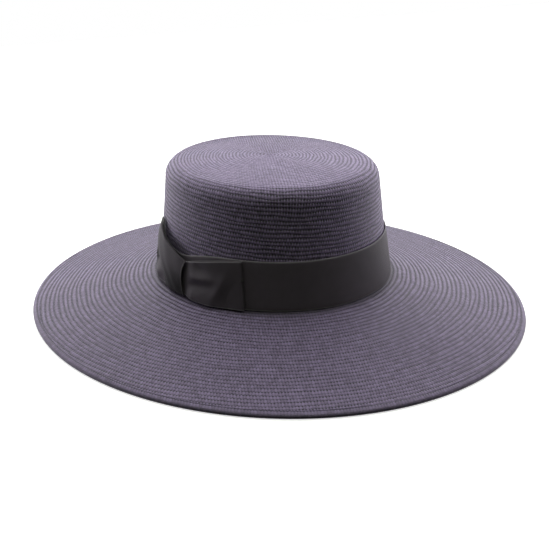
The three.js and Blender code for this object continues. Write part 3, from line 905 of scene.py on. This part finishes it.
# %% A ribbon's section
RIM_TURNS = np.radians(np.array([60, 20, -20, -60]))


def ribbon_section(rows, thickness):
    """A thin section with round rims: for each of its points the share across the ribbon, how far it lies
    beyond the ribbon's edge, and its distance from the ribbon's middle layer. It runs up the face, over the
    upper rim, down the back and round the lower rim."""
    half = thickness / 2
    share = np.linspace(0, 1, rows + 1)
    flat = np.zeros_like(share)
    rim = np.ones(len(RIM_TURNS))
    across = np.concatenate([share, rim, share[::-1], 0 * rim])
    beyond = np.concatenate([flat, half * np.cos(RIM_TURNS), flat, -half * np.cos(RIM_TURNS)])
    off = np.concatenate([flat + half, half * np.sin(RIM_TURNS), flat - half, -half * np.sin(RIM_TURNS)])
    return across, beyond, off


def ribbon_faces(along, across, closed):
    """Faces of a ribbon and their weave coordinates: millimetres along it and across it."""
    quads, ring, step = grid_faces(len(along) - closed, len(across), closed)
    start, end = along[ring], along[ring + 1]
    low, high = across[step] * RIBBON_WIDTH, across[(step + 1) % len(across)] * RIBBON_WIDTH
    return quads, corner_values([start, start, end, end], [low, high, high, low])


# %% [markdown]
# ## The band
# The band is stretched round the crown and lies close to it. Beside the knot its upper edge is drawn down
# by a few millimetres.

# %% The band
BAND_COLUMNS = 480
BAND_ROWS = 10
BAND_THICKNESS = 0.9
BAND_PINCH = 6.5
BAND_PINCH_REACH = 26
BAND_PAINTED_SHADE = 0.9
BEHIND_BOW = (-70, -50, -4, 12)  # where the band is darkened, a painted shade of the bow, along it
BAND_SINK = 0.1  # the band's face lies this far inside the solid's


def make_band():
    """The section carried round the crown. The upper edge falls by a bell beside the knot, and slow waves
    a tenth of a millimetre high keep the face from being too even."""
    across, beyond, off = ribbon_section(BAND_ROWS, BAND_THICKNESS)
    along = (np.arange(BAND_COLUMNS) / BAND_COLUMNS - 0.5) * FOOT_LENGTH
    top = RIBBON_WIDTH - BAND_PINCH * bump_of(along, 0, BAND_PINCH_REACH)
    up = across * top[:, None] + beyond + BAND_THICKNESS / 2
    up = up * (top / (top + BAND_THICKNESS))[:, None]
    ripple = 0.12 * np.sin(along / 23)[:, None] * np.sin(up / 11)
    ripple = ripple + 0.08 * np.sin(along[:, None] / 9.1 + up / 14)
    points = on_band(along[:, None], up, off - BAND_THICKNESS / 2 - BAND_SINK + ripple)
    quads, uv = ribbon_faces(np.append(along, along[0] + FOOT_LENGTH), across, True)
    behind_bow = plateau(along, *BEHIND_BOW)
    band = make_piece("ribbon_band", points, [quads], [uv], ribbon, ["hat_band"],
                      {"ribbon_painted_shade": np.broadcast_to(BAND_PAINTED_SHADE * behind_bow[:, None], points.shape[:2])})


make_band()

# %% [markdown]
# ## The bow
# Each loop is a length of ribbon folded back on itself and pressed flat. Tables give the edges of its layers
# in millimetres along the band. Soft folds run out of the knot, where the ribbon is gathered, and die away
# towards the tip. Between the layers little light gets in, so each loop also has a function for its painted
# shade, which says where its colour is darkened.

# %% Curves through a table, and folds
LOOP_THICKNESS = 0.8
SOLID_THICKNESS = 1.0  # the ribbon's thickness in the solids, for the same layers
INNER_LAYER = PIECE_GAP + SOLID_THICKNESS / 2
LAYER_GAP = 0.4
FLAT_LAYER = INNER_LAYER + SOLID_THICKNESS + LAYER_GAP
LEAN_ABOVE_BAND = 2.3
LEAN_ZONE = (-2, 13)  # against the height of the band's upper edge
RIM_SHARE = 0.9  # a loop's rims are a little flatter than half circles
LOOP_STEPS = (90, 40, 8)  # rings of a loop: on its face, on its back and round each fold
LOOP_ROWS = 36


def column_at(table, column, value):
    """A column of a table at places between its rows. The first column is the place. The curve is a cubic
    whose slope in each row is the slope between the rows beside it."""
    table = np.array(table, float)
    if table[0, 0] > table[-1, 0]:
        table = table[::-1]
    places, values = table[:, 0], table[:, column]
    before = np.maximum(np.arange(len(places)) - 1, 0)
    after = np.minimum(np.arange(len(places)) + 1, len(places) - 1)
    slopes = (values[after] - values[before]) / (places[after] - places[before])
    index = np.clip(np.searchsorted(places, value, side="right") - 1, 0, len(places) - 2)
    span = places[index + 1] - places[index]
    part = np.clip((value - places[index]) / span, 0, 1)
    square, cube = part ** 2, part ** 3
    return (values[index] * (2 * cube - 3 * square + 1) + values[index + 1] * (3 * square - 2 * cube)
            + span * (slopes[index] * (cube - 2 * square + part) + slopes[index + 1] * (cube - square)))


def folded_height(folds, along, up):
    """The sum of the folds. Each is a bell along its own direction times a bell across it: with the ribbon's
    coordinates turned by the fold's angle, depth exp(-(l / length)^2) exp(-(w / width)^2)."""
    height = np.zeros(np.broadcast_shapes(along.shape, up.shape))
    for depth, middle_along, middle_up, degrees, length, width in folds:
        turn = math.radians(degrees)
        ahead, above = along - middle_along, up - middle_up
        lengthwise = ahead * math.cos(turn) + above * math.sin(turn)
        crosswise = above * math.cos(turn) - ahead * math.sin(turn)
        height = height + depth * bump_of(lengthwise, 0, length) * bump_of(crosswise, 0, width)
    return height


def lean_in(up):
    """Above the band the bow's layers lean in, so that they follow the crown's wall."""
    return LEAN_ABOVE_BAND * smooth_step(up, *(RIBBON_WIDTH + edge for edge in LEAN_ZONE))


# %% [markdown]
# ## A loop
# Round a loop runs an angle that is 90 degrees on the face and -90 degrees on the back, and turns through
# the fold between them. Its sine mixes the two layers' edges and distances.

# %% A loop


def make_loop(name, node, root, tip, tip_slant, outer_edges, inner_edges, outer_off, inner_off, flat_length,
              ribbon_painted_shade):
    """A flattened ring of ribbon: out along the face, round the tip, back on the band, round the root. The
    tip's lower corner reaches further than its upper corner by tip_slant."""
    outer_steps, inner_steps, fold_steps = LOOP_STEPS
    turns = np.linspace(0, 180, fold_steps + 1)[1:-1]
    share = np.concatenate([np.linspace(0, 1, outer_steps + 1), np.ones(len(turns)),
                            np.linspace(1, 0, inner_steps + 1), np.zeros(len(turns))])[:, None]
    turn = np.radians(np.concatenate([np.full(outer_steps + 1, 90), 90 - turns,
                                      np.full(inner_steps + 1, -90), 270 - turns]))[:, None]
    across, beyond, off = (part[None, :] for part in ribbon_section(LOOP_ROWS, LOOP_THICKNESS))
    outer_part = (1 + np.sin(turn)) / 2
    towards = np.sign(tip - root)
    level = root + (tip - root) * share + towards * tip_slant * share ** 2 * (0.5 - across)
    low, high = (column_at(inner_edges, column, level) * (1 - outer_part)
                 + column_at(outer_edges, column, level) * outer_part for column in (1, 2))
    up = low + (high - low) * across + beyond * RIM_SHARE
    outer, inner = outer_off(level, up), inner_off(level, up)
    radius = (outer - inner) / 2 + off
    along = level + towards * radius * np.cos(turn)
    points = on_band(along, up, (outer + inner) / 2 + radius * np.sin(turn) - lean_in(up))
    quads, uv = ribbon_faces(np.linspace(0, flat_length, len(points) + 1), across[0], True)
    shade = ribbon_painted_shade(level, up, outer_part)
    loop = make_piece(name, points, [quads], [uv], ribbon, [node],
                      {"ribbon_painted_shade": np.broadcast_to(shade, points.shape[:2])})


# %% [markdown]
# ## The front loop
# It swells where it leaves the knot and lies flat at its tip.

# %% The front loop
# Each row is millimetres along the band, then the lower and the upper edge.
FRONT_EDGES = [(-1.5, 3.4, 22.6), (10, 2.4, 25.4), (25, 0.8, 29.2), (43, 0.5, 32.9), (66, 0.5, 35.2)]
# Each fold is its depth, its middle along and up, its direction in degrees, its length and its width.
FRONT_FOLDS = [
    (-1.6, 27, 24.5, -5, 10, 4.2),
    (0.8, 31, 18.5, 5, 10, 2.6),
    (-2.0, 23, 11.5, 6, 14, 3.6),
    (0.5, 20, 4.5, -6, 11, 3.0),
    (1.2, 45, 13, 64, 12, 3.8),
    (-1.0, 55, 9, 60, 8, 4.5),
]
FRONT_FREE = (13, 23)  # the outer layer leaves the knot here
FRONT_FLAT = (34, 62)  # and is pressed flat here
FRONT_SWELL = 2.0
# A painted shade: the outer layer is darkened a little all over, the inner layer much more.
FRONT_SHADE, FRONT_INNER_SHADE = 0.15, 0.65
FRONT_LENGTH = 131


def front_outer(along, up):
    """The outer layer's distance from the band: free of the knot it swells by 2 mm, and flat at the tip."""
    free = smooth_step(along, *FRONT_FREE)
    swell = FRONT_SWELL * (1 - smooth_step(along, *FRONT_FLAT)) + folded_height(FRONT_FOLDS, along, up)
    return FLAT_LAYER + np.maximum(free * swell, 0)


def front_inner(along, up):
    """The inner layer lies flat on the band."""
    return INNER_LAYER + 0 * along + 0 * up


def front_painted_shade(along, up, outer_part):
    """A painted shade: the outer layer is darkened a little all over, and the inner layer, which lies in
    the dark, much more.
    """
    return FRONT_SHADE + FRONT_INNER_SHADE * (1 - outer_part) + 0 * along + 0 * up


make_loop("ribbon_loop_front", "bow_loop_front", -1.5, 62.0, 2.9, FRONT_EDGES, FRONT_EDGES,
          front_outer, front_inner, FRONT_LENGTH, front_painted_shade)

# %% [markdown]
# ## The rear loop
# It is shorter, and its outer layer is fanned upwards above the band.

# %% The rear loop
REAR_OUTER_EDGES = [(-5.5, 4.0, 28.0), (-15, 9.8, 33.0), (-28.6, 15.6, 39.8), (-36, 16.6, 45.2),
                    (-43, 16.6, 44.6)]
REAR_INNER_EDGES = [(-5.5, 3.4, 27.0), (-20, 1.0, 31.0), (-43, 0.4, 34.8)]
REAR_LIFT, REAR_LIFT_ZONE, REAR_LIFT_WIDTH = 0.6, (38, 40, 40, 43), 6
REAR_BULGE, BULGE_ALONG, BULGE_UP = 2.4, (-32, 9), (6, 5)  # its height, and its middle and reach each way
EDGE_SHADE, EDGE_ZONE = 0.8, (2, 9)  # painted shade along the outer layer's lower edge, its upper edge,
TOP_SHADE, TOP_EDGE_ZONE = 0.9, (4, 10)
INNER_ZONE = (13, 18)  # and up the inner layer
REAR_LENGTH = 78


def rear_outer(along, up):
    """The outer layer is fanned upwards, and lies flat under the knot."""
    lifted = plateau(-along, *REAR_LIFT_ZONE)
    over_edge = up - column_at(REAR_OUTER_EDGES, 1, along)
    return FLAT_LAYER + REAR_LIFT * lifted * bump_of(over_edge, 0, REAR_LIFT_WIDTH)


def rear_inner(along, up):
    """The inner layer bulges out a little below the outer one."""
    return INNER_LAYER + REAR_BULGE * bump_of(along, *BULGE_ALONG) * bump_of(up, *BULGE_UP)


def rear_painted_shade(along, up, outer_part):
    """A painted shade: the outer layer is darkened where its lower edge is pressed on the inner one, and
    along its upper edge. The inner layer is darkened above the foot."""
    low, high = (column_at(REAR_OUTER_EDGES, column, along) for column in (1, 2))
    outer = np.maximum(EDGE_SHADE * (1 - smooth_step(up - low, *EDGE_ZONE)),
                       TOP_SHADE * (1 - smooth_step(high - up, *TOP_EDGE_ZONE)))
    return outer * outer_part + TOP_SHADE * smooth_step(up, *INNER_ZONE) * (1 - outer_part)


make_loop("ribbon_loop_rear", "bow_loop_rear", -5.5, -43, 0, REAR_OUTER_EDGES, REAR_INNER_EDGES,
          rear_outer, rear_inner, REAR_LENGTH, rear_painted_shade)

# %% [markdown]
# ## The knot
# The knot is a short wrap of the same ribbon, tucked under the loops at the foot. It spreads like a fan
# towards the back, and its free upper edge climbs there.

# %% The knot
# Each row is its number, the back edge along and up, the front edge along and up, and how far out it lies.
KNOT_SECTIONS = [
    (0, -11.0, 0.6, 11.8, 0.6, 0.8),
    (1, -11.0, 1.3, 12.2, 1.3, 2.3),
    (2, -10.8, 2.4, 12.8, 2.4, 3.7),
    (3, -13.8, 8.6, 11.6, 7.0, 4.3),
    (4, -19.0, 15.6, 10.8, 13.0, 5.0),
    (5, -26.5, 23.5, 10.8, 18.5, 5.2),
    (6, -33.5, 33.0, 11.6, 23.0, 4.6),
    (7, -37.0, 43.5, 13.4, 27.2, 4.0),
]
KNOT_RINGS, KNOT_ROWS = 57, 30
KNOT_CROWN = 0.9  # the knot's face is arched by this much,
KNOT_EDGE = 0.4  # its back edge is pressed in,
KNOT_CREASE = 0.16  # and fine creases run up it
CREASE_WAVES, CREASE_TURN = 15, 1.1  # their waves across, and how they turn from row to row
FOOT_TURN = 0.6  # how far the section tips over where it is tucked under
# A painted shade: the knot is darkened a little all over, and more towards its foot, between these heights.
KNOT_SHADE, KNOT_FOOT_SHADE, KNOT_SHADE_ZONE = 0.2, 0.6, (7, 24)
KNOT_LENGTH = 42.0


def make_knot():
    """Rows of points from the foot to the free edge. Each row is a section that runs from the back edge to
    the front edge on the face and returns on the reverse. The two ends are closed by a strip of faces."""
    last_level = KNOT_SECTIONS[-1][0]
    level = np.linspace(0, last_level, KNOT_RINGS)[:, None]
    across, beyond, off = (part[None, :] for part in ribbon_section(KNOT_ROWS, LOOP_THICKNESS))
    back, back_up, front, front_up, out = (column_at(KNOT_SECTIONS, column, level) for column in range(1, 6))
    along = back + (front - back) * across + beyond
    up = back_up + (front_up - back_up) * across
    over_loops = smooth_step(level, 1, 3)
    crowned = KNOT_CROWN * np.sin(np.pi * across)
    back_edge = -KNOT_EDGE * (1 - smooth_step(across, 0, 0.3))
    creases = KNOT_CREASE * np.sin(across * CREASE_WAVES + CREASE_TURN * level) * across * (1 - across) * 4
    turned = np.clip(1 - level / 2, 0, 1)
    height = (out + (crowned + back_edge + creases) * over_loops + off * (1 - FOOT_TURN * turned)
              - lean_in(up))
    points = on_band(along, up - off * turned, height)
    rings, steps = points.shape[:2]
    quads, uv = ribbon_faces(level[:, 0] / last_level * KNOT_LENGTH, across[0], False)
    pair = np.arange(-2, KNOT_ROWS + 2)
    near, after = pair % steps, (pair + 1) % steps
    far, far_after = (2 * KNOT_ROWS + 5 - pair) % steps, (2 * KNOT_ROWS + 4 - pair) % steps
    foot_cap = np.stack([after, near, far, far_after], axis=1)
    free_cap = np.stack([near, after, far_after, far], axis=1) + (rings - 1) * steps
    cap_uv = np.zeros((len(pair), 4, 2)) + RIBBON_WIDTH / 2
    knot = make_piece("ribbon_knot", points, [quads, foot_cap, free_cap],
                      [uv, cap_uv, cap_uv], ribbon, ["bow_knot"],
                      {"ribbon_painted_shade": KNOT_SHADE + KNOT_FOOT_SHADE * (1 - smooth_step(up, *KNOT_SHADE_ZONE))})


make_knot()

# %% [markdown]
# ## The shade above the bow
# The bow stands off the crown, and light from the side doesn't reach the straw close above its edge, so a
# black line shows there. The renderer's own shadow is softer than the real one, because real ribbon lies in
# several thin layers. So we darken the crown's points along the bow's upper edge.

# %% The shade above the bow
# Each row is millimetres along the band, then the height of the bow's or the band's upper edge there.
BOW_TOP = [
    (-60, 34.0), (-46, 38.0), (-41, 44.0), (-36, 44.6), (-28, 41.4),
    (-16, 37.0), (-4, 34.2), (10, 31.5), (30, 34.0),
]
SHADE_ZONE = (0.4, 2.6)  # the shade fades between these heights over the edge
SHADE_ALONG = (-56, -46, 2, 22)
SHADE_DEPTH = 0.95


def shade_above_bow():
    """The straw close above the bow's edge is dark: the shade is 1 at the edge and 0 where it ends."""
    mesh = crown.data
    points = np.empty(3 * len(mesh.vertices), np.float32)
    mesh.vertices.foreach_get("co", points)
    points = points.reshape(-1, 3) / MILLIMETRE
    turn = np.mod(np.arctan2(points[:, 0] / HEAD_HALF_WIDTH, -points[:, 1] / HEAD_HALF_LENGTH), 2 * np.pi)
    run = np.interp(turn, np.linspace(0, 2 * np.pi, OVAL_STEPS + 1), foot_run)
    along = run - KNOT_DISTANCE
    over = points[:, 2] - FOOT_HEIGHT - column_at(BOW_TOP, 1, along)
    shade = SHADE_DEPTH * plateau(along, *SHADE_ALONG) * (1 - smooth_step(over, *SHADE_ZONE))
    store_values(mesh, "straw_painted_shade", shade)
    return int((shade > 0.1).sum())


print("shaded points above the bow:", shade_above_bow())

# %% [markdown]
# ## The stitches
# Two kinds show. A line of machine stitches holds the rolled edge down, in the pressed line along the hem.
# A small cross of black thread holds the end of the front loop to the band. Each stitch is a short thread
# that dives into the cloth at both ends.

# %% Thread
THREAD_SIDES = 6
THREAD_RINGS = 7
THREAD_ENDS = (0.02, 0.98)  # a thread's first and last ring, as shares of its length
THREAD_DEEP = "#0d0d0e"
TWIST_SLANT, TWIST_SCALE = 0.9, 3.0
THREAD_BUMP = (0.3, 0.0001)


def thread_material(name, colour):
    """Twisted thread: a wave across its length for the twist, in colour and bump."""
    material, tree, shader = new_material(name, {"Roughness": 0.6})
    weave = add_node(tree, "ShaderNodeUVMap", uv_map="weave").outputs["UV"]
    slanted = add_node(tree, "ShaderNodeMapping", {"Vector": weave, "Rotation": (0, 0, TWIST_SLANT)})
    twist = add_node(tree, "ShaderNodeTexWave", {"Vector": slanted.outputs["Vector"], "Scale": TWIST_SCALE})
    colours = colour_ramp(tree, twist.outputs["Fac"], [(0.0, THREAD_DEEP), (1.0, colour)])
    tree.links.new(colours, shader.inputs["Base Color"])
    add_bump(tree, shader, twist.outputs["Fac"], *THREAD_BUMP)
    return material


def make_threads(name, paths, sideways, upright, radius, material):
    """Many short threads in one mesh. paths is stitch by ring by xyz, and sideways and upright are unit
    vectors at each ring. A thread's radius is the square root of a sine along it, so its ends are round."""
    count = len(paths)
    share = np.linspace(*THREAD_ENDS, THREAD_RINGS)
    turn = np.arange(THREAD_SIDES) * 2 * np.pi / THREAD_SIDES
    thick = radius * np.sqrt(np.sin(np.pi * share))[None, :, None, None]
    round_about = (sideways[:, :, None, :] * np.cos(turn)[None, None, :, None]
                   + upright[:, :, None, :] * np.sin(turn)[None, None, :, None])
    points = paths[:, :, None, :] + thick * round_about
    quads, ring, side = grid_faces(THREAD_RINGS, THREAD_SIDES, False)
    last = (THREAD_RINGS - 1) * THREAD_SIDES
    caps = np.array([[3, 2, 1, 0], [5, 4, 3, 0], [last, last + 1, last + 2, last + 3],
                     [last, last + 3, last + 4, last + 5]])
    one = np.concatenate([quads, caps])
    size = THREAD_RINGS * THREAD_SIDES
    faces = (one[None, :, :] + (np.arange(count) * size)[:, None, None]).reshape(-1, 4)
    quad_uv = corner_values([side, side + 1, side + 1, side], [ring, ring, ring + 1, ring + 1])
    uv = np.tile(np.concatenate([quad_uv, np.zeros((4, 4, 2))]), (count, 1, 1))
    make_piece(name, points, [faces], [uv], material)


# %% [markdown]
# ## The hem's stitches
# They lie in the groove of the pressed line and are dyed a little paler than the straw there.

# %% The hem's stitches
HEM_THREAD = "#4d4757"
HEM_STITCH = 2.7
HEM_STITCH_PITCH = 3.3
HEM_THREAD_RADIUS = 0.24
STITCH_SINK, STITCH_RISE = 0.25, 0.42


def make_hem_stitches():
    """Stitches end to end along the pressed line: each is an arc, half a sine high, in the groove."""
    half_width = HEAD_HALF_WIDTH + SIDE_REACH * HEM_START
    points, ways, run = oval_table(HEAD_HALF_LENGTH + BRIM_REACH * HEM_START, half_width)
    count = round(run[-1] / HEM_STITCH_PITCH)
    along = np.linspace(0, 1, THREAD_RINGS)
    where = np.mod(np.arange(count)[:, None] * run[-1] / count + along * HEM_STITCH, run[-1])
    way = at_run(where, run, ways)
    bottom = brim_height(HEM_START) - HEM_GROOVE - STITCH_SINK
    height = bottom + STITCH_RISE * np.sin(np.pi * along) + np.zeros_like(where)
    paths = np.concatenate([at_run(where, run, points), height[..., None]], axis=-1)
    flat = np.zeros_like(where)
    sideways = np.stack([way[..., 1], -way[..., 0], flat], axis=-1)
    upright = np.stack([flat, flat, flat + 1], axis=-1)
    thread = thread_material("hem_thread", HEM_THREAD)
    make_threads("hem_stitches", paths, sideways, upright, HEM_THREAD_RADIUS, thread)


make_hem_stitches()

# %% [markdown]
# ## The cross at the end of the front loop
# One thread of the cross lies over the other, so it is lifted a little more.

# %% The cross at the end of the front loop
CROSS_THREAD = "#232420"
CROSS_ALONG = 62.6
CROSS_UP = 21.8
CROSS_HALF = 1.5
CROSS_THREAD_RADIUS = 0.3
CROSS_SINK, CROSS_RISE, CROSS_LIFT = 0.15, 0.45, 0.35


def make_cross_stitch():
    """Two short threads that cross, over the flat end of the front loop."""
    along = np.linspace(-1, 1, THREAD_RINGS)[None, :] * CROSS_HALF
    slope = np.array([[1.0], [-1.0]])
    rise = CROSS_RISE + np.array([[0.0], [CROSS_LIFT]])
    out = FLAT_LAYER + LOOP_THICKNESS / 2 - CROSS_SINK + rise * np.cos(along / CROSS_HALF * np.pi / 2)
    across = CROSS_ALONG + along + np.zeros_like(slope)
    up = CROSS_UP + along * slope
    paths = on_band(across, up, out)
    outwards = unit(on_band(across, up, out + 1) - paths)
    sideways = np.cross(unit(np.gradient(paths, axis=1)), outwards)
    thread = thread_material("bow_thread", CROSS_THREAD)
    make_threads("bow_cross_stitch", paths, sideways, outwards, CROSS_THREAD_RADIUS, thread)


make_cross_stitch()
